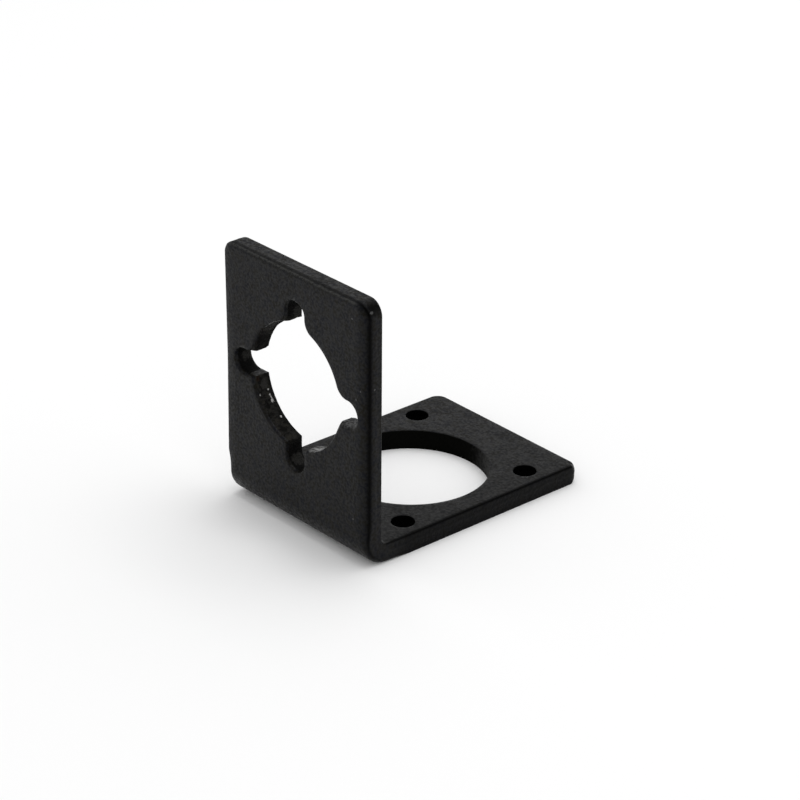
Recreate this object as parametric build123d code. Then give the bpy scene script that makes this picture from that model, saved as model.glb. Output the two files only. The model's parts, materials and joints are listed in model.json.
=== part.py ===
from build123d import *
from math import cos, radians, sin, sqrt
import os

# Motor mounting bracket: one thick plate, punched, folded to a right angle and painted.
# The base lies flat and the upright stands on its front edge.
# Origin: the centre of the base bore, on the underside. +X runs across the plate,
# +Y along the base away from the upright, and +Z up. All sizes are in millimetres.

# Folded plate
width = 40.0
thickness = 4.0
upright_height = 53.0  # underside of the base to the top edge
base_length = 54.0  # outer face of the upright to the free edge of the base
inner_bend_radius = 1.5
upright_corner_radius = 3.0  # free corners of the upright, seen square to the plate
base_corner_radius = 2.0  # free corners of the base

# Edges of the two skins, softened by the die and the paint
outer_edge_round = 0.6
inner_edge_round = 0.6

# Base: a bore with four bolt holes on a square around it
bore_from_outer_face = 28.5
bore_diameter = 30.3
bore_rim_bevel = 0.2  # on the upper face
hole_spacing = 31.0
hole_diameter = 4.5

# Upright: a round opening with four screw slots that run out from it
opening_from_top = 23.0  # centre of the opening, below the top edge
opening_side_margin = 7.6  # plate left between the opening and the side edge
slot_width = 5.1
slot_end_margin = 2.7  # plate left between the end of a slot and the side edge
slot_mouth_round = 0.3

# The punch drew in the plate where it entered, most of all at the mouths of the slots,
# and broke out a slightly wider hole at the back
opening_roll_width = 0.6
opening_roll_depth = 0.9
roll_steps = 4  # sections that the rolled rim is lofted through, after the first
mouth_flare_round = 3.2  # of the slot mouths at the outer face
mouth_flare_depth = 1.4
breakout_growth = 0.2
breakout_depth = 0.7
mouth_share = 0.9  # most of the space between the opening and the slot's end that a mouth takes

outer_bend_radius = inner_bend_radius + thickness
outer_face_y = -bore_from_outer_face
opening_height = upright_height - opening_from_top
opening_radius = width / 2 - opening_side_margin
slot_reach = width / 2 - slot_end_margin

through = 3 * thickness  # long enough for a punch to pass right through the plate
same_length = 1e-6  # lengths that differ by less are equal


def folded_section():
    """The side view: two strips of plate joined by a bend of even thickness."""
    corner = (Align.MIN, Align.MIN)
    outside = Rectangle(base_length, upright_height, align=corner)
    inside = Pos(thickness, thickness) * Rectangle(base_length, upright_height, align=corner)
    section = outside - inside
    outer_corner = section.vertices().sort_by_distance((0, 0, 0))[0]
    section = fillet(outer_corner, outer_bend_radius)
    inner_corner = section.vertices().sort_by_distance((thickness, thickness, 0))[0]
    section = fillet(inner_corner, inner_bend_radius)
    return Pos(outer_face_y, 0) * section


def skin(plate, depth, bend_radius):
    """The three joined faces that lie this deep below the outer surface of the plate."""
    bend_middle = depth + bend_radius * (1 - sqrt(0.5))
    on_upright = (0, outer_face_y + depth, upright_height / 2)
    on_bend = (0, outer_face_y + bend_middle, bend_middle)
    on_base = (0, outer_face_y + base_length / 2, depth)
    return [plate.faces().sort_by_distance(point)[0] for point in (on_upright, on_bend, on_base)]


def outline(faces):
    """The edges around a group of joined faces: those that only one of the faces has."""
    edges = [edge for face in faces for edge in face.edges()]
    return [edge for edge in edges if edges.count(edge) == 1]


def folded_plate():
    """The plate before punching, with its free corners and its edges rounded."""
    plate = extrude(Plane.YZ * folded_section(), width / 2, both=True)
    top_corners = plate.edges().filter_by(Axis.Y).group_by(Axis.Z)[-1]
    plate = fillet(top_corners, upright_corner_radius)
    free_corners = plate.edges().filter_by(Axis.Z).group_by(Axis.Y)[-1]
    plate = fillet(free_corners, base_corner_radius)
    plate = fillet(outline(skin(plate, 0, outer_bend_radius)), outer_edge_round)
    return fillet(outline(skin(plate, thickness, inner_bend_radius)), inner_edge_round)


def punch_base(plate):
    """Cuts the bore and the bolt holes, and bevels the rim of the bore on the upper face."""
    bore = Cylinder(bore_diameter / 2, through)
    bolt_hole = Cylinder(hole_diameter / 2, through)
    bolt_holes = GridLocations(hole_spacing, hole_spacing, 2, 2) * bolt_hole
    plate = plate - bore - bolt_holes
    bore_edges = plate.edges().filter_by(lambda edge: is_circle(edge, bore_diameter / 2))
    return chamfer(bore_edges.group_by(Axis.Z)[-1], bore_rim_bevel)


def is_circle(edge, radius):
    return edge.geom_type == GeomType.CIRCLE and abs(edge.radius - radius) < same_length


def opening_outline(growth, mouth_round):
    """The round opening and its four slots as one outline, grown outwards on every side."""
    radius = opening_radius + growth
    half_slot = slot_width / 2 + growth
    slot = SlotOverall(2 * (slot_reach + growth), 2 * half_slot)
    cross = Circle(radius) + slot + Rot(0, 0, 90) * slot
    mouths = [v for v in cross.vertices() if abs(v.center().length - radius) < same_length]
    straight_end = slot_reach - slot_width / 2
    widest_round = (straight_end**2 + half_slot**2 - radius**2) / (2 * (radius - half_slot))
    return fillet(mouths, min(mouth_round, mouth_share * widest_round))


def opening_section(depth, growth, mouth_round):
    """The outline of the opening this deep below the outer face of the upright."""
    face_plane = Plane(origin=(0, outer_face_y + depth, opening_height), z_dir=(0, -1, 0))
    return face_plane * opening_outline(growth, mouth_round)


def rolled_sections():
    """The rim on the outer face: a quarter of an ellipse, and mouths that flare towards the face."""
    sections = []
    for step in range(roll_steps + 1):
        angle = radians(90 * step / roll_steps)
        depth = opening_roll_depth * (1 - cos(angle))
        growth = opening_roll_width * (1 - sin(angle))
        flare = max(0, 1 - depth / mouth_flare_depth)
        mouth_round = slot_mouth_round + (mouth_flare_round - slot_mouth_round) * flare
        sections.append(opening_section(depth, growth, mouth_round))
    return sections


def punch_upright(plate):
    """Cuts the slotted opening: its rolled rim, its straight wall and the breakout at the back."""
    wall_start = opening_section(mouth_flare_depth, 0, slot_mouth_round)
    wall_end = opening_section(thickness - breakout_depth, 0, slot_mouth_round)
    back_rim = opening_section(thickness, breakout_growth, slot_mouth_round)
    plate = plate - loft(rolled_sections() + [wall_start], ruled=True)
    plate = plate - loft([wall_start, wall_end], ruled=True)
    return plate - loft([wall_end, back_rim], ruled=True)


bracket = punch_upright(punch_base(folded_plate()))
bracket.label = "bracket"

os.makedirs("parts", exist_ok=True)
export_step(bracket, "parts/bracket.step")
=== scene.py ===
import json
import math
from collections import namedtuple

import bmesh
import bpy
import numpy as np
from mathutils import Matrix, Vector, geometry, noise


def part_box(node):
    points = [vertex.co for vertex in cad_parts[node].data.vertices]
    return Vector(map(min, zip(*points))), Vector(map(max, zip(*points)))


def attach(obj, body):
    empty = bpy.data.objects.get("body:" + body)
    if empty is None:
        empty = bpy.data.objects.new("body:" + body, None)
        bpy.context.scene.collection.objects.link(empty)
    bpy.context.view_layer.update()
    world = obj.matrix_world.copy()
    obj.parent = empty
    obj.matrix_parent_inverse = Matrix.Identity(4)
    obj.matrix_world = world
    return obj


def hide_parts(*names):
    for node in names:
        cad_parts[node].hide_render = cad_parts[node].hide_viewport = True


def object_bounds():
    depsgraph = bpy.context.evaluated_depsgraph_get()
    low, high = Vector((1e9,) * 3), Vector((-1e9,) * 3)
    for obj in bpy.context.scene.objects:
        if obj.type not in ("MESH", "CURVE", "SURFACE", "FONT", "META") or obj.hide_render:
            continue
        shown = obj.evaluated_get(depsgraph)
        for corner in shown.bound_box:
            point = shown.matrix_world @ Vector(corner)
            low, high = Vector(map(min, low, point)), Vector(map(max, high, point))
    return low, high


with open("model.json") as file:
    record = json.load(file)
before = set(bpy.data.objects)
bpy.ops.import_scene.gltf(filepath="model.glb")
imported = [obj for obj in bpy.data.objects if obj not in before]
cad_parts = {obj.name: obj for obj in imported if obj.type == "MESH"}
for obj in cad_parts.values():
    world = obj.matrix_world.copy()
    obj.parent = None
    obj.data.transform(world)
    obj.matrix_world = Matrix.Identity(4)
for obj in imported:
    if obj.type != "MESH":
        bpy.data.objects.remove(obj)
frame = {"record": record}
cad_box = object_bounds()

# The bracket is one folded plate. Its mesh is laid out flat, as the blank was, and then folded.
# A point of the blank is (across, along, depth): across the plate, along it from the top edge of
# the upright to the free edge of the base, and down from the outer skin. Sizes are in millimetres
# until the mesh is made.
MM = 0.001
low, high = (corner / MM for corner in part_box("bracket"))
mounts = {mount["name"]: mount for mount in frame["record"]["mounts"]}

# ---------------------------------------------------------------- sizes of the plate

HALF_WIDTH = high.x
OUTER_FACE = low.y
HEIGHT = high.z
THICKNESS = mounts["base_upper_face"]["pos_m"][2] / MM
INNER_BEND = 1.5
OUTER_BEND = INNER_BEND + THICKNESS
MIDDLE_BEND = INNER_BEND + THICKNESS / 2
TOP_LEFT_RADIUS = 2.5
TOP_RIGHT_RADIUS = 3.0
BASE_RIGHT_RADIUS = 1.7
BASE_LEFT_RADIUS = 2.3

BEND_START = HEIGHT - OUTER_BEND
BASE_START = BEND_START + MIDDLE_BEND * math.pi / 2
BLANK_LENGTH = BASE_START + high.y - OUTER_FACE - OUTER_BEND

BORE_ALONG = BASE_START - OUTER_FACE - OUTER_BEND
BORE_RADIUS = mounts["base_bore"]["dims"]["r_mm"]
HOLE_RADIUS = mounts["base_holes"]["dims"]["hole_r_mm"]
HOLE_PLACE = mounts["base_holes"]["dims"]["spacing_x_mm"] / 2

# How an edge of the plate is rolled: on the outer skin over a width and a depth, along a curve
# that is an ellipse at power 2, squarer above it and flatter below, and on the inner skin by a
# plain round. The rest say how dark the painted shade is in a line at a depth below the outer
# skin, on the side itself, and in a line along the inner round.
Edge = namedtuple("Edge", "width depth power inner line line_depth side inner_line")
TOP_LEFT_CORNER = Edge(0.4, 0.35, 2.0, 0.9, 0.3, 0.3, 0.0, 0.0)
TOP_EDGE_LEFT = Edge(0.32, 0.95, 1.2, 0.6, 0.8, 0.6, 0.0, 0.0)
TOP_EDGE_RIGHT = Edge(0.38, 1.05, 1.2, 0.35, 0.9, 0.65, 0.0, 0.0)
TOP_RIGHT_CORNER = Edge(1.8, 1.5, 2.4, 0.45, 1.0, 0.8, 0.9, 0.4)
RIGHT_EDGE = Edge(3.5, 2.1, 3.2, 0.4, 0.9, 1.08, 0.0, 0.3)
BEND_EDGE = Edge(1.0, 1.1, 2.0, 0.35, 0.8, 0.7, 0.2, 0.8)
BASE_EDGE = Edge(0.15, 0.3, 2.0, 0.6, 0.9, 0.7, 0.7, 1.0)
BASE_RIGHT_CORNER = Edge(1.1, 1.6, 2.0, 1.6, 0.6, 0.7, 0.6, 1.0)
FAR_EDGE_RIGHT = Edge(0.5, 0.6, 2.0, 0.95, 0.3, 0.4, 0.3, 0.3)
FAR_EDGE_LEFT = Edge(0.5, 0.6, 2.0, 0.6, 0.3, 0.4, 0.3, 0.2)
BASE_LEFT_CORNER = Edge(0.5, 0.6, 2.0, 0.5, 0.3, 0.4, 0.3, 0.2)
BASE_LEFT_EDGE = Edge(0.35, 0.5, 2.0, 0.3, 0.3, 0.4, 0.3, 0.2)
LEFT_EDGE_LOW = Edge(2.6, 0.17, 1.6, 0.4, 0.0, 0.4, 0.0, 0.3)
LEFT_EDGE_MIDDLE = Edge(2.6, 0.34, 1.6, 0.4, 0.0, 0.4, 0.0, 0.3)
LEFT_EDGE_TOP = Edge(2.4, 0.12, 1.6, 0.5, 0.0, 0.4, 0.0, 0.3)

# Where the edge shapes give way to each other, from the start and the end of the bend
ROLL_ENDS = 4  # above the bend
BEND_EDGE_FROM = 1  # below its start
BASE_EDGE_FROM = 5  # beyond its end

# How the dark lines of painted shade spread, as a share of their depth and as angles around the inner
# round
LINE_SPREAD = 0.5
INNER_LINE_PLACE = math.radians(38)
INNER_LINE_SPREAD = math.radians(32)
SIDE_FADE = 3  # power of the fade from the side to the skins

# The shear left a faint ridge between the clean and the broken zone of the sides. It drifts and
# varies in height along the plate, by so many waves to the millimetre.
RIDGE_DEPTH = 2.35
RIDGE_DRIFT = 0.35
RIDGE_DRIFT_WAVES = 0.35
RIDGE_HEIGHT = 0.03
RIDGE_CHANGE = 0.6
RIDGE_CHANGE_WAVES = 0.9
RIDGE_WIDTH = 0.3

# How fine the mesh is
EDGE_STEP = 0.28  # between points along the outline of the blank
GRID_STEP = 0.6  # between points inside a flat skin
BEND_STEP = 0.3  # the same, along the bend
SKIN_GAP = 0.3  # between the grid and the loops around it
RING_REACH = 0.9  # how far in from the outline the rings go, before the grid takes over
OUTER_RINGS = 15
SIDE_RINGS = 18
INNER_RINGS = 9
SAME_PLACE = 1e-5  # points of a skin that are closer than this are one
NEAREST_BATCH = 1000  # places measured at a time

# ---------------------------------------------------------------- sizes of the slotted opening

OPENING_HEIGHT = mounts["upright_opening"]["pos_m"][2] / MM
OPENING_RADIUS = mounts["upright_opening"]["dims"]["r_mm"]
SLOT_HALF = 2.55  # half the width of a slot
SLOT_REACH = 17.3

# Points along a slot's tip and side, its mouth, and the arc beside it
TIP_STEPS = 16
SLOT_SIDE_STEPS = 10
MOUTH_STEPS = 12
ARC_STEPS = 28

# The slot mouths flare at the outer face. Two mouths each of the right, upper, left and lower
# slot, in the order of rising angle, have these shares of the flare.
MOUTHS = ((1.0, 1.0), (1.0, 1.0), (0.8, 0.12), (0.12, 0.6))
MOUTH_FLARE = 4.8
MOUTH_FLARE_DEPTH = 1.34
MOUTH_FLARE_POWER = 1.9
MOUTH_WIDEST = 3.5
MOUTH_CRISP = 0.1
MOUTH_FIT = 0.9  # most of the space beside it that a mouth takes

# The rim is rolled in at the outer face, and broken out at the back
ROLL_WIDTH = 0.6
ROLL_DEPTH = 0.9
BREAKOUT_DEPTH = 0.7
BREAKOUT_GROWTH = 0.22
ROLL_RINGS = 10
WALL_RINGS = 12
BREAKOUT_RINGS = 6
OUTWARD_STEP = 0.05  # how far the outline is grown to find the way into the plate

# Around the opening, from its angle: how much of the roll and of the breakout there is. The
# upper left has a burr instead of the breakout.
ROLL_SHARES = [
    (-180, 0.5), (-172, 0.9), (-166, 1.0), (-155, 0.6), (-110, 0.6), (-102, 0.45), (-85, 0.45),
    (-76, 0.4), (-66, 0.3), (-45, 0.5), (-30, 0.6), (-12, 1.0), (82, 1.0), (88, 0.1), (94, 0.1),
    (101, 0.35), (106, 0.5), (122, 0.5), (138, 1.0), (160, 1.0), (167, 0.1), (173, 0.1), (180, 0.5),
]
BREAKOUT_SHARES = [(95, 1), (105, -1.0), (115, -1.6), (125, -1.8), (132, -1.1), (142, -0.1),
                   (155, 0.2), (168, 1)]

# The punch dragged the wall below the roll, and tore it deeper down
DRAG_WAVES = 2.2
DRAG_STRETCH = 0.25  # waves down the wall
DRAG_HEIGHT = 0.025
TEAR_WAVES = 1.7
TEAR_FRACTAL = (0.8, 2.1, 3)  # roughness, step between octaves, and octaves
TEAR_DEPTH = 2.3
TEAR_MEAN = 0.035
TEAR_HEIGHT = 0.06
TEAR_FADE = 0.5  # depth over which either starts

# The marks of a wall, which are also the order of the plate's materials
TORN_WALL = 1
BORE_WALL = 2

# The torn material covers the left of the opening, but for a lip of the left slot's lower side. It
# starts below the rim, a little deeper in the slots.
TORN_SIDE = (2.0, 0.5)
LEFT_LIP = (-13.8, -11.0)
LIP_FACING = -0.8
SLOT_FROM = (0.3, 1.0)  # outside the opening's circle
TORN_START = 0.35
TORN_START_IN_SLOT = 0.15
TORN_FULL = 0.75
TORN_FULL_IN_SLOT = 0.1

# Painted shade in the slots, on the left of the upper left arc, and at the back of the wall
DARK_IN_SLOT = 0.95
DARK_ARC = 0.5
DARK_ARC_ANGLES = (138, 162)
DARK_BACK = 0.7
DARK_BACK_DEPTHS = (3.1, 3.5)

# ---------------------------------------------------------------- sizes of the round holes

BORE_BREAKOUT = [(0, 0.05), (0.1, 0.03), (0.3, 0.01), (0.8, 0)]  # (depth, growth) pairs
BORE_ROLL_DEPTH = 0.75
BORE_ROLL_WIDTH = 0.2
BORE_WALL_RINGS = 6
BORE_ROLL_RINGS = 9
HOLE_RIM = 0.18
HOLE_RINGS = 6
RIM_GROWTH = 0.1  # a ring that has grown by this much lies on the rim, and is painted

# Across a round hole, from no painted shade to dark painted shade. The bore's shows at its rims
# alone, because its wall has a material of its own.
BORE_SHADE = (14, 3)
HOLE_SHADE = (9, 3)


def make_camera():
    """A long lens that looks down on the bracket from its right front."""
    azimuth = math.radians(48.534)
    elevation = math.radians(26.462)
    roll = math.radians(0.467)
    offset = Vector((-19.486, -24.546, -569.855)) * MM  # the upright's foot, seen from the camera
    focal_length = 3.8163375  # in widths of the picture
    foot = Vector((0, cad_box[0].y, 0))
    right = Vector((math.cos(azimuth), math.sin(azimuth), 0))
    back = Vector((
        math.sin(azimuth) * math.cos(elevation),
        -math.cos(azimuth) * math.cos(elevation),
        math.sin(elevation),
    ))
    up = back.cross(right)
    rolled_right = math.cos(roll) * right + math.sin(roll) * up
    rolled_up = math.cos(roll) * up - math.sin(roll) * right
    turn = Matrix((rolled_right, rolled_up, back)).transposed()
    data = bpy.data.cameras.new("camera")
    data.sensor_width = 36.0
    data.lens = data.sensor_width * focal_length
    data.clip_start = 0.01
    data.clip_end = 20
    camera = bpy.data.objects.new("camera", data)
    camera.matrix_world = Matrix.Translation(foot - turn @ offset) @ turn.to_4x4()
    bpy.context.scene.collection.objects.link(camera)
    bpy.context.scene.camera = camera


# ---------------------------------------------------------------- the blank


class Shell:
    """The points and faces of the blank, gathered ring by ring."""

    def __init__(self):
        self.points = []
        self.faces = []

    def add(self, points):
        """Adds points of the blank, and gives their numbers."""
        first = len(self.points)
        self.points.extend(map(tuple, points))
        return np.arange(first, first + len(points))

    def bridge(self, ring, other):
        """A band of four-sided faces between two rings of as many points."""
        following = np.roll(ring, -1)
        other_following = np.roll(other, -1)
        self.faces.extend(zip(ring, following, other_following, other))

    def wall(self, rings):
        """Bands through all the rings, in order. Gives the first and the last ring's numbers."""
        numbers = [self.add(ring) for ring in rings]
        for ring, other in zip(numbers, numbers[1:]):
            self.bridge(ring, other)
        return numbers[0], numbers[-1]


def with_depth(flat, depth, dark=0, wall=0):
    """Points of the blank from places on its face and their depths.

    Each also carries how dark the painted shade on it is, and the mark of the wall that it lies on.
    """
    columns = (np.broadcast_to(value, len(flat)) for value in (depth, dark, wall))
    return np.column_stack([flat, *columns])


def smooth(value, start, end):
    """From 0 at the start to 1 at the end, with a soft beginning and finish."""
    share = np.clip((value - start) / (end - start), 0, 1)
    return share * share * (3 - 2 * share)


def bell(value):
    """One at zero, and down to nothing on both sides."""
    return np.exp(-(value**2))


def wander(points, waves):
    """A smooth drift between about -1 and 1 along the points."""
    return np.array([noise.noise(Vector((x * waves, y * waves, waves))) for x, y in points])


def rolled_depth(inset, width, depth, power):
    """How deep a rolled edge lies this far in from the outline."""
    run = np.clip(1 - inset / width, 0, 1)
    return depth * (1 - (1 - run**power) ** (1 / power))


def blend(places, stations):
    """The edge shape at each place, between the shapes of the stations on either side of it."""
    marks, shapes = zip(*stations)
    return np.column_stack([np.interp(places, marks, column) for column in np.array(shapes).T])


def blend_evenly(points, *shapes):
    """Edge shapes that follow each other evenly over the points."""
    share = np.linspace(0, len(shapes) - 1, len(points), endpoint=False)
    return blend(share, list(enumerate(shapes)))


def straight_side(start, end):
    """Points along a straight side, without its end, and the way into the plate."""
    start, end = np.array(start, float), np.array(end, float)
    span = end - start
    length = np.hypot(*span)
    share = np.linspace(0, 1, round(length / EDGE_STEP), endpoint=False)[:, None]
    inward = np.array((-span[1], span[0])) / length
    return start + share * span, np.tile(inward, (len(share), 1))


def corner_arc(centre, radius, first_angle):
    """Points around a rounded corner, without its end, and the way into the plate."""
    steps = round(radius * math.pi / 2 / EDGE_STEP)
    angles = first_angle + np.linspace(0, math.pi / 2, steps, endpoint=False)
    outward = np.column_stack([np.cos(angles), np.sin(angles)])
    return np.array(centre) + radius * outward, -outward


def blank_outline():
    """Points around the blank, the way into the plate at each, and its edge shape."""
    quarter = math.pi / 2
    half = HALF_WIDTH
    end = BLANK_LENGTH
    top_right_centre = (half - TOP_RIGHT_RADIUS, TOP_RIGHT_RADIUS)
    base_right_centre = (half - BASE_RIGHT_RADIUS, end - BASE_RIGHT_RADIUS)
    base_left_centre = (BASE_LEFT_RADIUS - half, end - BASE_LEFT_RADIUS)
    top_left_centre = (TOP_LEFT_RADIUS - half, TOP_LEFT_RADIUS)
    top = straight_side((TOP_LEFT_RADIUS - half, 0), (half - TOP_RIGHT_RADIUS, 0))
    top_right = corner_arc(top_right_centre, TOP_RIGHT_RADIUS, -quarter)
    right = straight_side((half, TOP_RIGHT_RADIUS), (half, end - BASE_RIGHT_RADIUS))
    base_right = corner_arc(base_right_centre, BASE_RIGHT_RADIUS, 0)
    far = straight_side((half - BASE_RIGHT_RADIUS, end), (BASE_LEFT_RADIUS - half, end))
    base_left = corner_arc(base_left_centre, BASE_LEFT_RADIUS, quarter)
    left = straight_side((-half, end - BASE_LEFT_RADIUS), (-half, TOP_LEFT_RADIUS))
    top_left = corner_arc(top_left_centre, TOP_LEFT_RADIUS, 2 * quarter)

    bend_stations = [(BEND_START + BEND_EDGE_FROM, BEND_EDGE), (BASE_START, BEND_EDGE)]
    right_stations = [
        (BEND_START - ROLL_ENDS, RIGHT_EDGE),
        *bend_stations,
        (BASE_START + BASE_EDGE_FROM, BASE_EDGE),
    ]
    left_stations = [
        (TOP_LEFT_RADIUS, LEFT_EDGE_TOP),
        (BEND_START / 2, LEFT_EDGE_MIDDLE),
        (BEND_START - ROLL_ENDS, LEFT_EDGE_LOW),
        *bend_stations,
        (BASE_START + BASE_EDGE_FROM, BASE_LEFT_EDGE),
    ]
    sides = [
        (top, blend_evenly(top[0], TOP_EDGE_LEFT, TOP_EDGE_RIGHT)),
        (top_right, blend_evenly(top_right[0], TOP_EDGE_RIGHT, TOP_RIGHT_CORNER, RIGHT_EDGE)),
        (right, blend(right[0][:, 1], right_stations)),
        (base_right, blend_evenly(base_right[0], BASE_EDGE, BASE_RIGHT_CORNER, FAR_EDGE_RIGHT)),
        (far, blend_evenly(far[0], FAR_EDGE_RIGHT, FAR_EDGE_LEFT)),
        (base_left, blend_evenly(base_left[0], FAR_EDGE_LEFT, BASE_LEFT_CORNER, BASE_LEFT_EDGE)),
        (left, blend(left[0][:, 1], left_stations)),
        (top_left, blend_evenly(top_left[0], LEFT_EDGE_TOP, TOP_LEFT_CORNER, TOP_EDGE_LEFT)),
    ]
    points = np.concatenate([side[0] for side, _ in sides])
    inward = np.concatenate([side[1] for side, _ in sides])
    edges = np.concatenate([edge for _, edge in sides])
    return points, inward, edges


def edge_rings(points, inward, edges):
    """The rings over the edge of the plate, from the outer skin to the inner one."""
    width, depth, power, inner, line, line_depth, side, inner_line = edges.T
    first_turn = np.arcsin(np.clip(1 - RING_REACH / width, 0, 1) ** (power / 2))
    ridge = RIDGE_DEPTH + RIDGE_DRIFT * wander(points, RIDGE_DRIFT_WAVES)
    ridge_height = RIDGE_HEIGHT * (1 + RIDGE_CHANGE * wander(points, RIDGE_CHANGE_WAVES))
    rings = []

    def add(inset, level, dark):
        """Adds a ring. Away from the ridge, the side lies behind it by the ridge's height."""
        behind = ridge_height * (1 - bell((level - ridge) / RIDGE_WIDTH))
        rings.append(with_depth(points + (inset + behind)[:, None] * inward, level, dark))

    # Painted shade: dark lines along the edge, and on its side and inner round
    def outer_line(level):
        return line * bell((level - line_depth) / (LINE_SPREAD * line_depth))

    for share in np.linspace(0, 1, OUTER_RINGS):
        turn = first_turn + share * (math.pi / 2 - first_turn)
        level = depth * (1 - np.cos(turn) ** (2 / power))
        dark = np.maximum(outer_line(level), side * share**SIDE_FADE)
        add(width * (1 - np.sin(turn) ** (2 / power)), level, dark)
    for share in np.linspace(0, 1, SIDE_RINGS)[1:-1]:
        level = depth + share * (THICKNESS - inner - depth)
        add(0, level, np.maximum(outer_line(level), side))
    for turn in np.radians(np.linspace(0, 90, INNER_RINGS)):
        level = THICKNESS - inner * (1 - math.sin(turn))
        dark = inner_line * bell((turn - INNER_LINE_PLACE) / INNER_LINE_SPREAD)
        dark = np.maximum(dark, side * math.cos(turn) ** SIDE_FADE)
        add(inner * (1 - math.cos(turn)), level, dark)
    return rings


# ---------------------------------------------------------------- the slotted opening


def half_slot_outline(growth, mouth_round):
    """From the tip of a slot along +X to the middle of the arc beside it."""
    radius = OPENING_RADIUS + growth
    half = SLOT_HALF + growth
    end_x = SLOT_REACH - SLOT_HALF
    widest = (end_x**2 + half**2 - radius**2) / (2 * (radius - half))
    mouth = min(mouth_round, MOUTH_FIT * widest)
    mouth_centre = np.array((math.sqrt((radius + mouth) ** 2 - (half + mouth) ** 2), half + mouth))
    reach_angle = math.atan2(mouth_centre[1], mouth_centre[0])

    tip_turns = np.linspace(0, math.pi / 2, TIP_STEPS, endpoint=False)
    tip = np.column_stack([end_x + half * np.cos(tip_turns), half * np.sin(tip_turns)])
    side_x = np.linspace(end_x, mouth_centre[0], SLOT_SIDE_STEPS, endpoint=False)
    side = np.column_stack([side_x, np.full(len(side_x), half)])
    mouth_turns = np.linspace(-math.pi / 2, reach_angle - math.pi, MOUTH_STEPS, endpoint=False)
    flare = mouth_centre + mouth * np.column_stack([np.cos(mouth_turns), np.sin(mouth_turns)])
    arc_turns = np.linspace(reach_angle, math.pi / 4, ARC_STEPS, endpoint=False)
    arc = radius * np.column_stack([np.cos(arc_turns), np.sin(arc_turns)])
    return np.concatenate([tip, side, flare, arc])


def mouth_round(depth, share):
    """The round of a slot mouth at a depth: flared at the outer face by its share, and crisp behind."""
    left = max(0, 1 - depth / MOUTH_FLARE_DEPTH)
    return max(MOUTH_CRISP, share * min(MOUTH_WIDEST, MOUTH_FLARE * left**MOUTH_FLARE_POWER))


def opening_outline(growth, depth):
    """Places around the slotted opening at a depth, grown on every side, seen from the front."""
    radius = OPENING_RADIUS + growth
    middle = radius * np.array([[math.sqrt(0.5), -math.sqrt(0.5)]])
    quarters = []
    for number, (first, second) in enumerate(MOUTHS):
        before = half_slot_outline(growth, mouth_round(depth, first))[1:] * (1, -1)
        after = half_slot_outline(growth, mouth_round(depth, second))
        slot = np.concatenate([middle, before[::-1], after])
        for _ in range(number):
            slot = np.column_stack([-slot[:, 1], slot[:, 0]])
        quarters.append(slot)
    return np.concatenate(quarters)


def opening_profile():
    """Down the wall of the opening: (depth, growth) pairs of the roll, the wall and the breakout."""
    roll = [(ROLL_DEPTH * (1 - math.cos(turn)), ROLL_WIDTH * (1 - math.sin(turn)))
            for turn in np.radians(np.linspace(0, 90, ROLL_RINGS))]
    depths = np.linspace(ROLL_DEPTH, THICKNESS - BREAKOUT_DEPTH, WALL_RINGS)[1:]
    wall = [(depth, 0) for depth in depths]
    breakout = [(THICKNESS - BREAKOUT_DEPTH * (1 - share), BREAKOUT_GROWTH * share)
                for share in np.linspace(0, 1, BREAKOUT_RINGS)[1:]]
    return roll + wall + breakout


def torn(place, depth):
    """How far the punched wall is dragged and torn at a place on it, into the plate."""
    drag = noise.noise(Vector((place[0] * DRAG_WAVES, place[1] * DRAG_WAVES, depth * DRAG_STRETCH)))
    tear = noise.fractal(Vector((place[0], place[1], depth)) * TEAR_WAVES, *TEAR_FRACTAL)
    sheared = np.clip((depth - ROLL_DEPTH) / TEAR_FADE, 0, 1)
    broken = np.clip((depth - TEAR_DEPTH) / TEAR_FADE, 0, 1)
    torn_away = TEAR_MEAN + TEAR_HEIGHT * tear
    return sheared * (DRAG_HEIGHT * drag * (1 - broken) + broken * torn_away)


def wall_marks(places, outward, angle, depth):
    """How much of the torn wall there is at the places, and how dark the painted shade on it is."""
    slot_start, slot_full = (OPENING_RADIUS + gap for gap in SLOT_FROM)
    in_slot = smooth(np.linalg.norm(places, axis=1), slot_start, slot_full)
    on_lip = (places[:, 0] > LEFT_LIP[0]) & (places[:, 0] < LEFT_LIP[1]) & (outward[:, 1] < LIP_FACING)
    start = TORN_START + TORN_START_IN_SLOT * in_slot
    full = TORN_FULL + TORN_FULL_IN_SLOT * in_slot
    wall = smooth(places[:, 0], *TORN_SIDE) * ~on_lip * smooth(depth, start, full)
    dark = np.maximum(DARK_IN_SLOT * in_slot, DARK_ARC * smooth(angle, *DARK_ARC_ANGLES))
    return wall, wall * np.maximum(dark, DARK_BACK * smooth(depth, *DARK_BACK_DEPTHS))


def opening_rings():
    """The rings down the wall of the opening, with its roll, its tears and its breakout."""
    rings = []
    for depth, growth in opening_profile():
        places = opening_outline(0, depth)
        outward = opening_outline(OUTWARD_STEP, depth) - places
        outward /= np.linalg.norm(outward, axis=1)[:, None]
        angle = np.degrees(np.arctan2(places[:, 1], places[:, 0]))
        shares = ROLL_SHARES if depth < ROLL_DEPTH else BREAKOUT_SHARES
        share = np.interp(angle, *zip(*shares))
        moved = np.array([torn(place, depth) for place in places])
        if depth >= THICKNESS:
            moved = np.clip(moved, 0, None)
        wall, dark = wall_marks(places, outward, angle, depth)
        places = places + outward * np.reshape(growth * share + moved, (-1, 1))
        flat = np.column_stack([places[:, 0], HEIGHT - OPENING_HEIGHT - places[:, 1]])
        rings.append(with_depth(flat, depth, dark, TORN_WALL * wall))
    return rings


# ---------------------------------------------------------------- the round holes


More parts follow.
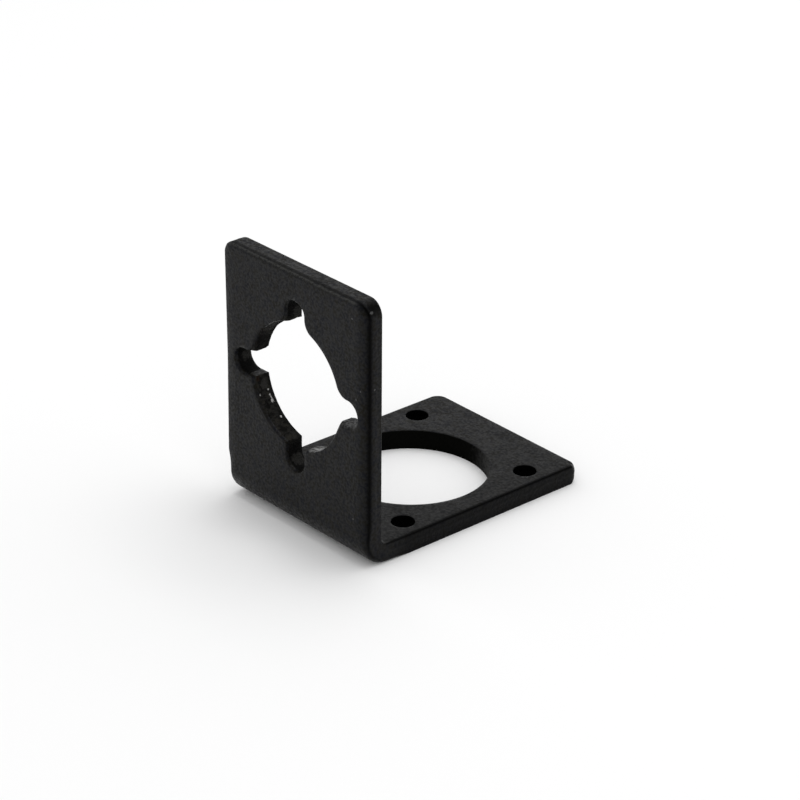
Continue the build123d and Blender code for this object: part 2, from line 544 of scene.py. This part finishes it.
def round_hole_rings(across, along, radius, profile, shade, mark=0):
    """The rings down a round hole, through (depth, growth) pairs from the outer skin inwards.

    Painted shade darkens the left of its wall, and the wall gets the mark.
    """
    steps = round(2 * math.pi * radius / EDGE_STEP)
    turns = np.linspace(0, 2 * math.pi, steps, endpoint=False)
    way = np.column_stack([np.cos(turns), np.sin(turns)])
    # Painted shade, dark on the hole's left
    dark = smooth(way[:, 0] * radius, *shade)
    rings = []
    for depth, growth in profile:
        on_wall = growth < RIM_GROWTH
        flat = (across, along) + (radius + growth) * way
        rings.append(with_depth(flat, depth, dark * on_wall, mark * on_wall))
    return rings


def bore_profile():
    """The bore: broken out below and rolled in above, where the punch entered."""
    depths = np.linspace(BORE_BREAKOUT[-1][0], THICKNESS - BORE_ROLL_DEPTH, BORE_WALL_RINGS)[1:]
    wall = [(depth, 0) for depth in depths]
    above = [(THICKNESS - BORE_ROLL_DEPTH * (1 - math.sin(turn)), BORE_ROLL_WIDTH * (1 - math.cos(turn)))
             for turn in np.radians(np.linspace(0, 90, BORE_ROLL_RINGS)[1:])]
    return BORE_BREAKOUT + wall + above


def bolt_hole_profile():
    """A bolt hole: a short round at each end of a straight wall."""
    turns = np.radians(np.linspace(0, 90, HOLE_RINGS))
    below = [(HOLE_RIM * (1 - math.cos(turn)), HOLE_RIM * (1 - math.sin(turn))) for turn in turns]
    depths = np.linspace(HOLE_RIM, THICKNESS - HOLE_RIM, HOLE_RINGS)[1:-1]
    wall = [(depth, 0) for depth in depths]
    above = [(THICKNESS - depth, growth) for depth, growth in below[::-1]]
    return below + wall + above


# ---------------------------------------------------------------- the two skins


def inside(places, loop):
    """Which places lie inside a closed loop, by counting the sides that a ray crosses."""
    result = np.zeros(len(places), bool)
    following = np.roll(loop, -1, axis=0)
    for (x1, y1), (x2, y2) in zip(loop, following):
        if y1 == y2:
            continue
        spans = (places[:, 1] < y1) != (places[:, 1] < y2)
        crossing = x1 + (places[:, 1] - y1) * (x2 - x1) / (y2 - y1)
        result ^= spans & (places[:, 0] < crossing)
    return result


def between(places, outer, holes):
    """Which places lie inside the outer loop and outside the loops of the holes."""
    kept = inside(places, outer)
    for hole in holes:
        kept &= ~inside(places, hole)
    return kept


def nearest(places, loop):
    """The number of the loop's nearest point to each place, and its distance."""
    numbers = np.empty(len(places), int)
    distances = np.empty(len(places))
    for first in range(0, len(places), NEAREST_BATCH):
        part = slice(first, first + NEAREST_BATCH)
        gaps = np.linalg.norm(places[part, None] - loop[None], axis=2)
        numbers[part] = gaps.argmin(1)
        distances[part] = gaps.min(1)
    return numbers, distances


def grid_places():
    """A grid over the blank, closer along the bend."""
    across = np.linspace(-HALF_WIDTH, HALF_WIDTH, round(2 * HALF_WIDTH / GRID_STEP))
    upright = np.arange(0, BEND_START, GRID_STEP)
    bend = np.linspace(BEND_START, BASE_START, round((BASE_START - BEND_START) / BEND_STEP))
    base = np.arange(BASE_START + GRID_STEP, BLANK_LENGTH, GRID_STEP)
    return np.array([(x, y) for y in np.concatenate([upright, bend, base]) for x in across])


def fill_skin(shell, outer, holes, depth_at):
    """Fills a skin with triangles, from its outer loop to the loops of its holes."""
    flat = np.array(shell.points)[:, :2]
    loops = [outer] + holes
    outer_places = flat[outer]
    hole_places = [flat[hole] for hole in holes]
    places = grid_places()
    kept = between(places, outer_places, hole_places)
    for loop in loops:
        kept[kept] &= nearest(places[kept], flat[loop])[1] > SKIN_GAP
    places = places[kept]
    grid = shell.add(with_depth(places, depth_at(places)))
    numbers = np.concatenate([outer, *holes, grid])
    corners = np.concatenate([outer_places, *hole_places, places])
    sides, first = [], 0
    for loop in loops:
        ring = np.arange(first, first + len(loop))
        sides.extend(zip(ring.tolist(), np.roll(ring, -1).tolist()))
        first += len(loop)
    found = geometry.delaunay_2d_cdt([Vector(c) for c in corners], sides, [], 0, SAME_PLACE)
    spots, triangles, sources = np.array(found[0]), np.array(found[2]), found[3]
    kept = between(spots[triangles].mean(1), outer_places, hole_places)
    own = np.array([numbers[source[0]] for source in sources])
    shell.faces.extend(map(tuple, own[triangles[kept]]))


# ---------------------------------------------------------------- the folded plate


def fold(points):
    """The blank's points in the object's frame, once it is folded."""
    across, along, depth = np.array(points)[:, :3].T
    angle = np.clip((along - BEND_START) / MIDDLE_BEND, 0, math.pi / 2)
    above = np.maximum(BEND_START - along, 0)
    beyond = np.maximum(along - BASE_START, 0)
    radius = OUTER_BEND - depth
    y = OUTER_FACE + OUTER_BEND - radius * np.cos(angle) + beyond
    z = OUTER_BEND - radius * np.sin(angle) + above
    return np.column_stack([across, y, z])


def make_blank():
    """The whole blank: the band over its edge, the walls of its holes, and its two skins."""
    shell = Shell()
    points, inward, edges = blank_outline()
    outer_loop, inner_loop = shell.wall(edge_rings(points, inward, edges))
    bore = round_hole_rings(0, BORE_ALONG, BORE_RADIUS, bore_profile(), BORE_SHADE, BORE_WALL)
    punched = [opening_rings(), bore]
    for x in (-HOLE_PLACE, HOLE_PLACE):
        for y in (-HOLE_PLACE, HOLE_PLACE):
            profile = bolt_hole_profile()
            punched.append(round_hole_rings(x, BORE_ALONG + y, HOLE_RADIUS, profile, HOLE_SHADE))
    outer_holes, inner_holes = zip(*(shell.wall(rings) for rings in punched))

    def outer_depth(places):
        numbers, inset = nearest(places, points)
        width, depth, power = edges[numbers].T[:3]
        return rolled_depth(inset, width, depth, power)

    def inner_depth(places):
        return np.full(len(places), THICKNESS)

    fill_skin(shell, outer_loop, list(outer_holes), outer_depth)
    fill_skin(shell, inner_loop, list(inner_holes), inner_depth)
    return shell


def folded_plate():
    """The whole bracket as one closed mesh."""
    shell = make_blank()
    mesh = bpy.data.meshes.new("plate")
    faces = [list(map(int, face)) for face in shell.faces]
    mesh.from_pydata((fold(shell.points) * MM).tolist(), [], faces)
    edit = bmesh.new()
    edit.from_mesh(mesh)
    bmesh.ops.recalc_face_normals(edit, faces=edit.faces)
    edit.to_mesh(mesh)
    edit.free()
    dark, wall = np.array(shell.points, np.float32)[:, 3:].T
    # Each point's painted shade, read by the materials
    mesh.attributes.new("thin_paint", "FLOAT", "POINT").data.foreach_set("value", dark.copy())
    for face in mesh.polygons:
        face.material_index = round(float(wall[list(face.vertices)].min()))
    mesh.shade_smooth()
    plate = bpy.data.objects.new("folded_plate", mesh)
    bpy.context.scene.collection.objects.link(plate)
    return plate


# ---------------------------------------------------------------- colours and marks of the paint

COAT_COOL = (0.0016, 0.0022, 0.0046)
COAT_WARM = (0.0038, 0.003, 0.001)
COAT_FLECK = (0.0098, 0.0098, 0.01)
# Painted light on the right slot's lower wall
SLOT_LIGHT_COLOR = (0.06, 0.06, 0.06)
# Painted highlight along the upright's top edge
HIGHLIGHT_LINE_COLOR = (0.03, 0.03, 0.0285)
# Painted shade on the bore's wall, from dark to grey
BORE_DARK = (0.0024, 0.0024, 0.0019)
BORE_GREY = (0.037, 0.037, 0.0365)
WALL_DARK = (0.0022, 0.0021, 0.0018)
WALL_GREY = (0.0135, 0.0132, 0.012)
WALL_BROWN = (0.0145, 0.0135, 0.0108)
# Painted light on patches of the torn wall
WALL_LIT_COLOR = (0.021, 0.0205, 0.019)
RUST = (0.0095, 0.0055, 0.0032)
# The colour of the painted shade: dark edge lines, shaded sides and corners, dark holes and slots
LINE_COLOR = (0.0008, 0.0008, 0.0008)
# Dust specks, and a painted highlight on the top right corner
DUST_AND_GLINT_COLOR = (0.06, 0.06, 0.06)
# Bare steel of the chips, and of the painted highlight streak
BARE_STEEL_AND_GLINT = (0.3, 0.295, 0.29)
FLOOR_COLOR = (0.93, 0.93, 0.93, 1)

# How glossy the surfaces are. A pair is what lies at the two ends of the change.
PAINT_SPECULAR = 0.1
PAINT_ROUGHNESS = (0.37, 0.47)
SPARKLE = (0.12, -0.12)
SHADE_METALLIC = 0.9
WALL_SPECULAR = 0.04
WALL_ROUGHNESS = (0.7, 0.4)  # of the paint, and of bare steel
BORE_SPECULAR = 0.01
BORE_ROUGHNESS = 0.6
FLOOR_ROUGHNESS = 0.9

# Waves to the millimetre of what varies over the surface, and how high the bumps are
GRAIN_SCALE = 1.6
FLECK_SCALE = 1.9
CLOUD_SCALE = 0.22
HUE_SCALE = 0.7
PATCH_SCALE = 0.8
WALL_GRAIN_SCALE = 4.0
DRAG_SCALE = (1.8, 0.9, 1.8)
GRAIN_HEIGHT = 0.04
WALL_HEIGHT = 0.12
WALL_GRAIN_SHARE = 0.4

# The two values of its noise between which each mark of the paint comes in or, for the wall's
# painted shade, eases off, and how strong the mark is at its weakest or its strongest
CLOUD_RANGE = (0.3, 0.7)
SPARKLE_RANGE = (0.3, 0.7)
HUE_RANGE = (0.38, 0.62)
FLECK_RANGE = (0.35, 0.7)
SLOT_LIGHT_RANGE = (0.38, 0.6)
HIGHLIGHT_RANGE = (0.3, 0.65)
HIGHLIGHT_WEAKEST = 0.2
WALL_GREY_RANGE = (0.38, 0.62)
WALL_BROWN_RANGE = (0.5, 0.65)
WALL_DARK_RANGE = (0.45, 0.3)
WALL_DARK_STRONGEST = 0.8
WALL_SHADE_GRAIN_RANGE = (0.35, 0.7)
WALL_SHADE_GRAIN_WEAKEST = 0.75
WALL_LIT_RANGE = (0.3, 0.6)
WALL_LIT_WEAKEST = 0.3
BORE_SPECK_RANGE = (0.5, 0.35)
BORE_SPECK_STRONGEST = 0.4

# Across the bore, the painted shade of its wall goes from dark to grey, with a ragged edge
BORE_GREY_PLACES = (0.5, 8.5)
BORE_RAGGED_RANGE = (0.2, 0.8)
BORE_RAGGED = (-1.5, 1.5)

# Painted shade: the base is darker by this much to the right and towards the upright, and the
# upright's outer face is darker to the left
BASE_SHADE = 0.45
BASE_SHADE_ACROSS = 0.013
BASE_SHADE_ALONG = -0.006
UPRIGHT_SHADE = 0.09
UPRIGHT_SHADE_FROM = 14

# Where a face's painted shade or the painted highlight below the top edge comes in, from none to full
ABOVE_SIDES = (-0.3, -0.05)  # above the base's upper face
BELOW_UPRIGHT = (2, 0.5)
BEHIND_BEND = (4, 5.5)  # behind the outer face
ON_FRONT = (0.4, 0.2)
ABOVE_HIGHLIGHT = (-0.75, -0.4)  # above the top edge
BELOW_RIM = (-0.08, -0.2)

SPOT_EDGE = (1.15, 0.7)  # over this share of its reach a spot fades in


def on_opening(angle, depth):
    """A place on the wall of the opening, in millimetres, from its angle and depth."""
    turn = math.radians(angle)
    x = OPENING_RADIUS * math.cos(turn)
    z = OPENING_HEIGHT + OPENING_RADIUS * math.sin(turn)
    return (x, OUTER_FACE + depth, z)


# Each chip, speck or patch of painted light or shade: where it is, and how far it reaches along each
# axis
BARE_CHIPS = [
    (on_opening(-154, 2.8), (0.2, 0.25, 0.25)),
    (on_opening(-152, 0.7), (0.2, 0.14, 0.4)),
    (on_opening(-149, 2.9), (0.25, 0.18, 0.35)),
    (on_opening(-145, 2.9), (0.6, 0.2, 0.85)),
    (on_opening(-128, 3.0), (0.22, 0.14, 0.22)),
]
# A painted highlight: a bright bare-metal streak on the lower right of the opening's wall
HIGHLIGHT_STREAK = [((4.5, -26.6, 18.45), (1.7, 0.2, 0.6))]
# Painted light on the right slot's lower wall, which faces up, speckled
LIT_SLOT_WALL = [((13.8, -26.8, 27.4), (2.2, 1.7, 0.7))]
# Painted light: patches of the torn wall that catch light
WALL_LIT_PATCHES = [
    ((-17.3, -25.5, 29.4), (0.7, 1.5, 1.2)),
    ((-2.55, -25.6, 43.4), (0.7, 1.1, 1.3)),
    ((-1.9, -26.0, 13.8), (1.3, 1.5, 1.3)),
    ((-11.6, -26.2, 25.7), (0.8, 0.9, 1.3)),
    ((-9.9, -25.7, 37.4), (0.8, 0.6, 1.1)),
]
# Painted shade: dark patches of the torn wall
WALL_SHADES = [
    ((-11.2, -27.0, 35.3), (0.9, 1.2, 1.6)),
    ((-9.6, -27.0, 22.2), (0.7, 0.5, 0.9)),
    ((-5.5, -26.9, 18.9), (1.2, 0.6, 0.6)),
    ((-11.3, -27.2, 25.0), (0.6, 0.16, 1.6)),
]
WALL_RUST = [((-12.0, -27.3, 27.2), (0.5, 0.5, 1.0))]
DUST_AND_GLINT = [
    ((19.94, -28.17, 28.7), (0.2, 0.2, 0.25)),
    ((20.0, -26.4, 36.3), (0.2, 0.2, 0.2)),
    ((18.4, -28.5, 36.0), (0.2, 0.2, 0.2)),
    ((17.3, -28.5, 34.0), (0.15, 0.2, 0.2)),
    ((16.5, -28.5, 9.5), (0.2, 0.2, 0.2)),
    ((16.2, -28.5, 49.5), (0.2, 0.2, 0.2)),
    # A painted highlight on the top right corner
    ((19.7, -26.9, 51.4), (0.3, 0.4, 0.3)),
]


# ---------------------------------------------------------------- shader nodes


def add_node(tree, kind, inputs=None, **settings):
    """A node of the kind, with its settings; an input is a value or another node's output."""
    made = tree.nodes.new(kind)
    for name, value in settings.items():
        setattr(made, name, value)
    for name, value in (inputs or {}).items():
        if isinstance(value, bpy.types.NodeSocket):
            tree.links.new(value, made.inputs[name])
        else:
            made.inputs[name].default_value = value
    return made


def math_node(tree, operation, *values):
    """The result of a calculation with numbers."""
    return add_node(tree, "ShaderNodeMath", dict(enumerate(values)), operation=operation).outputs[0]


def product(tree, first, *others):
    """The product of several numbers."""
    for other in others:
        first = math_node(tree, "MULTIPLY", first, other)
    return first


def vector_node(tree, operation, *values, **named):
    """The result of a calculation with vectors."""
    inputs = {**dict(enumerate(values)), **named}
    return add_node(tree, "ShaderNodeVectorMath", inputs, operation=operation).outputs[0]


def split_node(tree, place):
    """The three parts of a vector."""
    return add_node(tree, "ShaderNodeSeparateXYZ", {"Vector": place}).outputs[:]


def noise_node(tree, place, scale, detail=2.0, roughness=0.5):
    """Even noise, around a half."""
    inputs = {"Vector": place, "Scale": scale, "Detail": detail, "Roughness": roughness}
    return add_node(tree, "ShaderNodeTexNoise", inputs).outputs["Fac"]


def ramp_node(tree, value, low_in, high_in, low_out=0.0, high_out=1.0):
    """Goes smoothly from the low to the high output, as the value does between the inputs."""
    inputs = {"Value": value, "From Min": low_in, "From Max": high_in,
              "To Min": low_out, "To Max": high_out}
    return add_node(tree, "ShaderNodeMapRange", inputs, interpolation_type="SMOOTHSTEP").outputs[0]


def come_in(tree, value, origin, places):
    """From zero to one between two places, which are counted from an origin."""
    start, full = places
    return ramp_node(tree, value, origin + start, origin + full)


def mix_color(tree, share, first, second):
    """A blend of two colours, each written down or another node's."""
    made = tree.nodes.new("ShaderNodeMix")
    made.data_type = "RGBA"
    factor, color_sockets = made.inputs[:1], made.inputs[6:8]
    for socket, value in zip(factor + color_sockets, (share, first, second)):
        if isinstance(value, bpy.types.NodeSocket):
            tree.links.new(value, socket)
        else:
            socket.default_value = value if socket.type == "VALUE" else (*value, 1)
    return made.outputs[2]


def spots(tree, place, chips):
    """One where a place is inside any of the chips, each a centre and a size, and zero elsewhere."""
    total = 0.0
    for centre, size in chips:
        gap = vector_node(tree, "SUBTRACT", place, centre)
        scaled = vector_node(tree, "DIVIDE", gap, size)
        reach = add_node(tree, "ShaderNodeVectorMath", {0: scaled}, operation="LENGTH")
        inner = ramp_node(tree, reach.outputs["Value"], *SPOT_EDGE)
        total = math_node(tree, "MAXIMUM", total, inner)
    return total


def warped_place(tree, place, scale, reach):
    """The place, shifted this way and that, so that what is drawn there gets a ragged outline."""
    drift = add_node(tree, "ShaderNodeTexNoise", {"Vector": place, "Scale": scale}).outputs["Color"]
    drift = vector_node(tree, "SUBTRACT", drift, (0.5, 0.5, 0.5))
    return vector_node(tree, "ADD", place, vector_node(tree, "SCALE", drift, Scale=reach))


def thin_paint(tree):
    """How much painted shade the mesh's mark lays on the paint."""
    return add_node(tree, "ShaderNodeAttribute", attribute_name="thin_paint").outputs["Fac"]


def add_bump(tree, shader, height, distance):
    """Raises the surface by up to a distance in millimetres."""
    inputs = {"Height": height, "Strength": 1.0, "Distance": distance * MM}
    bump = add_node(tree, "ShaderNodeBump", inputs)
    tree.links.new(bump.outputs["Normal"], shader.inputs["Normal"])


def start_material(name):
    """A new material: its nodes, its shader, and the place on the object in millimetres."""
    material = bpy.data.materials.new(name)
    material.use_nodes = True
    tree = material.node_tree
    place = add_node(tree, "ShaderNodeTexCoord").outputs["Object"]
    place = vector_node(tree, "SCALE", place, Scale=1 / MM)
    return material, tree, tree.nodes["Principled BSDF"], place


# ---------------------------------------------------------------- materials


def paint_material():
    """Black powder coat: grainy, slightly mottled, with painted shade along the edges and on the faces,
    and painted highlights.
    """
    material, tree, shader, place = start_material("black_paint")
    # Painted shade from the mesh's mark, and painted shade on the faces
    shaded = math_node(tree, "MAXIMUM", thin_paint(tree), shaded_faces(tree, place))
    grain = noise_node(tree, place, GRAIN_SCALE, detail=1.0)
    fleck = noise_node(tree, place, FLECK_SCALE, detail=1.0)
    cloud = noise_node(tree, place, CLOUD_SCALE)
    hue = noise_node(tree, place, HUE_SCALE)

    color = mix_color(tree, ramp_node(tree, hue, *HUE_RANGE), COAT_COOL, COAT_WARM)
    color = mix_color(tree, ramp_node(tree, fleck, *FLECK_RANGE), color, COAT_FLECK)
    # Painted light on the right slot's lower wall
    slot_light = product(tree, spots(tree, place, LIT_SLOT_WALL), ramp_node(tree, fleck, *SLOT_LIGHT_RANGE))
    color = mix_color(tree, slot_light, color, SLOT_LIGHT_COLOR)
    # Painted highlight just below the top edge
    color = mix_color(tree, highlight_line(tree, place, fleck), color, HIGHLIGHT_LINE_COLOR)
    # Painted shade darkens the coat
    color = mix_color(tree, shaded, color, LINE_COLOR)
    # Dust specks, and a painted highlight on the top right corner
    dust_and_glint = spots(tree, warped_place(tree, place, scale=4.0, reach=0.3), DUST_AND_GLINT)
    color = mix_color(tree, dust_and_glint, color, DUST_AND_GLINT_COLOR)
    # Painted highlight: a bright bare-metal streak
    highlight_streak = spots(tree, warped_place(tree, place, scale=3.0, reach=0.25), HIGHLIGHT_STREAK)
    color = mix_color(tree, highlight_streak, color, BARE_STEEL_AND_GLINT)
    tree.links.new(color, shader.inputs["Base Color"])

    # Metal where shade is painted dims its reflection; the painted highlight streak is metal as well
    metal_share = math_node(tree, "MAXIMUM", highlight_streak, product(tree, shaded, SHADE_METALLIC))
    tree.links.new(metal_share, shader.inputs["Metallic"])
    mottle = ramp_node(tree, cloud, *CLOUD_RANGE, *PAINT_ROUGHNESS)
    sparkle = ramp_node(tree, fleck, *SPARKLE_RANGE, *SPARKLE)
    tree.links.new(math_node(tree, "ADD", mottle, sparkle), shader.inputs["Roughness"])
    shader.inputs["Specular IOR Level"].default_value = PAINT_SPECULAR
    add_bump(tree, shader, grain, GRAIN_HEIGHT)
    return material


def shaded_faces(tree, place):
    """Painted shade on the faces: the base towards its near right corner, and the upright's left."""
    x, y, z = split_node(tree, place)
    across = product(tree, x, BASE_SHADE_ACROSS)
    along = product(tree, y, BASE_SHADE_ALONG)
    # Painted shade on the base, stronger to the right and towards the upright
    base_shade = math_node(tree, "ADD", math_node(tree, "ADD", across, along), BASE_SHADE)
    above_sides = come_in(tree, z, THICKNESS, ABOVE_SIDES)
    below_upright = come_in(tree, z, THICKNESS, BELOW_UPRIGHT)
    behind_bend = come_in(tree, y, OUTER_FACE, BEHIND_BEND)
    base = product(tree, base_shade, above_sides, below_upright, behind_bend)
    leftwards = ramp_node(tree, x, UPRIGHT_SHADE_FROM, -UPRIGHT_SHADE_FROM, 0, UPRIGHT_SHADE)
    upright = product(tree, leftwards, on_front(tree, y))
    return math_node(tree, "MAXIMUM", base, upright)


def on_front(tree, y):
    """One on the upright's outer face, and zero behind it."""
    return come_in(tree, y, OUTER_FACE, ON_FRONT)


def highlight_line(tree, place, fleck):
    """The painted highlight just below the upright's top edge, broken in places."""
    _, y, z = split_node(tree, place)
    above_line = come_in(tree, z, HEIGHT, ABOVE_HIGHLIGHT)
    below_rim = come_in(tree, z, HEIGHT, BELOW_RIM)
    broken = ramp_node(tree, fleck, *HIGHLIGHT_RANGE, HIGHLIGHT_WEAKEST)
    line = product(tree, above_line, below_rim)
    return product(tree, line, product(tree, on_front(tree, y), broken))


def bore_material():
    """The wall of the bore: dull paint, with painted shade that darkens it towards its left."""
    material, tree, shader, place = start_material("bore_wall")
    x, _, _ = split_node(tree, place)
    fleck = noise_node(tree, place, FLECK_SCALE)
    ragged = ramp_node(tree, fleck, *BORE_RAGGED_RANGE, *BORE_RAGGED)
    edge = math_node(tree, "ADD", x, ragged)
    # Painted shade across the bore's wall
    color = mix_color(tree, ramp_node(tree, edge, *BORE_GREY_PLACES), BORE_DARK, BORE_GREY)
    speck = ramp_node(tree, fleck, *BORE_SPECK_RANGE, 0, BORE_SPECK_STRONGEST)
    color = mix_color(tree, speck, color, LINE_COLOR)
    tree.links.new(color, shader.inputs["Base Color"])
    shader.inputs["Roughness"].default_value = BORE_ROUGHNESS
    shader.inputs["Specular IOR Level"].default_value = BORE_SPECULAR
    add_bump(tree, shader, fleck, GRAIN_HEIGHT)
    return material


def wall_material():
    """The torn wall of the punched opening: thin rough paint, brown where steel shows through, with
    patches of painted light and shade.
    """
    material, tree, shader, place = start_material("torn_wall")
    drawn_out = vector_node(tree, "MULTIPLY", place, DRAG_SCALE)
    drag = noise_node(tree, drawn_out, 1.0, detail=4.0, roughness=0.7)
    patch = noise_node(tree, place, PATCH_SCALE, detail=3.0, roughness=0.6)
    grain = noise_node(tree, place, WALL_GRAIN_SCALE, roughness=0.6)
    color = mix_color(tree, ramp_node(tree, drag, *WALL_GREY_RANGE), WALL_DARK, WALL_GREY)
    color = mix_color(tree, ramp_node(tree, patch, *WALL_BROWN_RANGE), color, WALL_BROWN)
    shade = ramp_node(tree, patch, *WALL_DARK_RANGE, 0, WALL_DARK_STRONGEST)
    color = mix_color(tree, shade, color, WALL_DARK)
    # Painted shade in the slots, on the upper left arc and at the back of the wall, eased by grain
    grainy = ramp_node(tree, grain, *WALL_SHADE_GRAIN_RANGE, 1.0, WALL_SHADE_GRAIN_WEAKEST)
    patchy = product(tree, thin_paint(tree), grainy)
    color = mix_color(tree, patchy, color, LINE_COLOR)

    ragged = warped_place(tree, place, scale=1.3, reach=1.6)
    # Painted shade on patches of the wall
    color = mix_color(tree, spots(tree, ragged, WALL_SHADES), color, WALL_DARK)
    color = mix_color(tree, spots(tree, ragged, WALL_RUST), color, RUST)
    # Painted light on patches of the wall
    grainy = ramp_node(tree, grain, *WALL_LIT_RANGE, WALL_LIT_WEAKEST)
    light = product(tree, spots(tree, ragged, WALL_LIT_PATCHES), grainy)
    color = mix_color(tree, light, color, WALL_LIT_COLOR)
    metal_share = spots(tree, warped_place(tree, place, scale=2.5, reach=0.9), BARE_CHIPS)
    color = mix_color(tree, metal_share, color, BARE_STEEL_AND_GLINT)
    tree.links.new(color, shader.inputs["Base Color"])

    tree.links.new(ramp_node(tree, metal_share, 0, 1, *WALL_ROUGHNESS), shader.inputs["Roughness"])
    tree.links.new(metal_share, shader.inputs["Metallic"])
    shader.inputs["Specular IOR Level"].default_value = WALL_SPECULAR
    height = math_node(tree, "ADD", drag, product(tree, grain, WALL_GRAIN_SHARE))
    add_bump(tree, shader, height, WALL_HEIGHT)
    return material


def floor_material():
    """A pale matt floor."""
    material = bpy.data.materials.new("pale_floor")
    material.use_nodes = True
    shader = material.node_tree.nodes["Principled BSDF"]
    shader.inputs["Base Color"].default_value = FLOOR_COLOR
    shader.inputs["Roughness"].default_value = FLOOR_ROUGHNESS
    shader.inputs["Specular IOR Level"].default_value = 0
    return material


# ---------------------------------------------------------------- floor and light

# In metres and watts
FLOOR_SIZE = 6
WORLD_STRENGTH = 0.85
LAMP_PLACE = (0, 0.2, 1.0)
LAMP_TARGET = (0, 0, 0)
LAMP_SIZE = 0.8
LAMP_POWER = 3


def make_floor():
    """A wide floor under the bracket."""
    bpy.ops.mesh.primitive_plane_add(size=FLOOR_SIZE)
    floor = bpy.context.object
    floor.name = "floor"
    floor.data.materials.append(floor_material())


def make_world():
    """White light from all sides."""
    world = bpy.data.worlds.new("world")
    bpy.context.scene.world = world
    world.use_nodes = True
    background = world.node_tree.nodes["Background"]
    background.inputs["Color"].default_value = (1, 1, 1, 1)
    background.inputs["Strength"].default_value = WORLD_STRENGTH


def make_lamp():
    """A soft lamp above the bracket, which points at it."""
    data = bpy.data.lights.new("top", "AREA")
    data.size = LAMP_SIZE
    data.energy = LAMP_POWER
    light = bpy.data.objects.new("top", data)
    light.location = LAMP_PLACE
    light.rotation_mode = "QUATERNION"
    light.rotation_quaternion = (Vector(LAMP_TARGET) - Vector(LAMP_PLACE)).to_track_quat("-Z", "Y")
    bpy.context.scene.collection.objects.link(light)


make_camera()
plate = folded_plate()
for make_material in (paint_material, wall_material, bore_material):
    plate.data.materials.append(make_material())
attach(plate, "root")
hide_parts("bracket")
make_floor()
make_world()
make_lamp()
bpy.context.scene.view_settings.view_transform = "Standard"
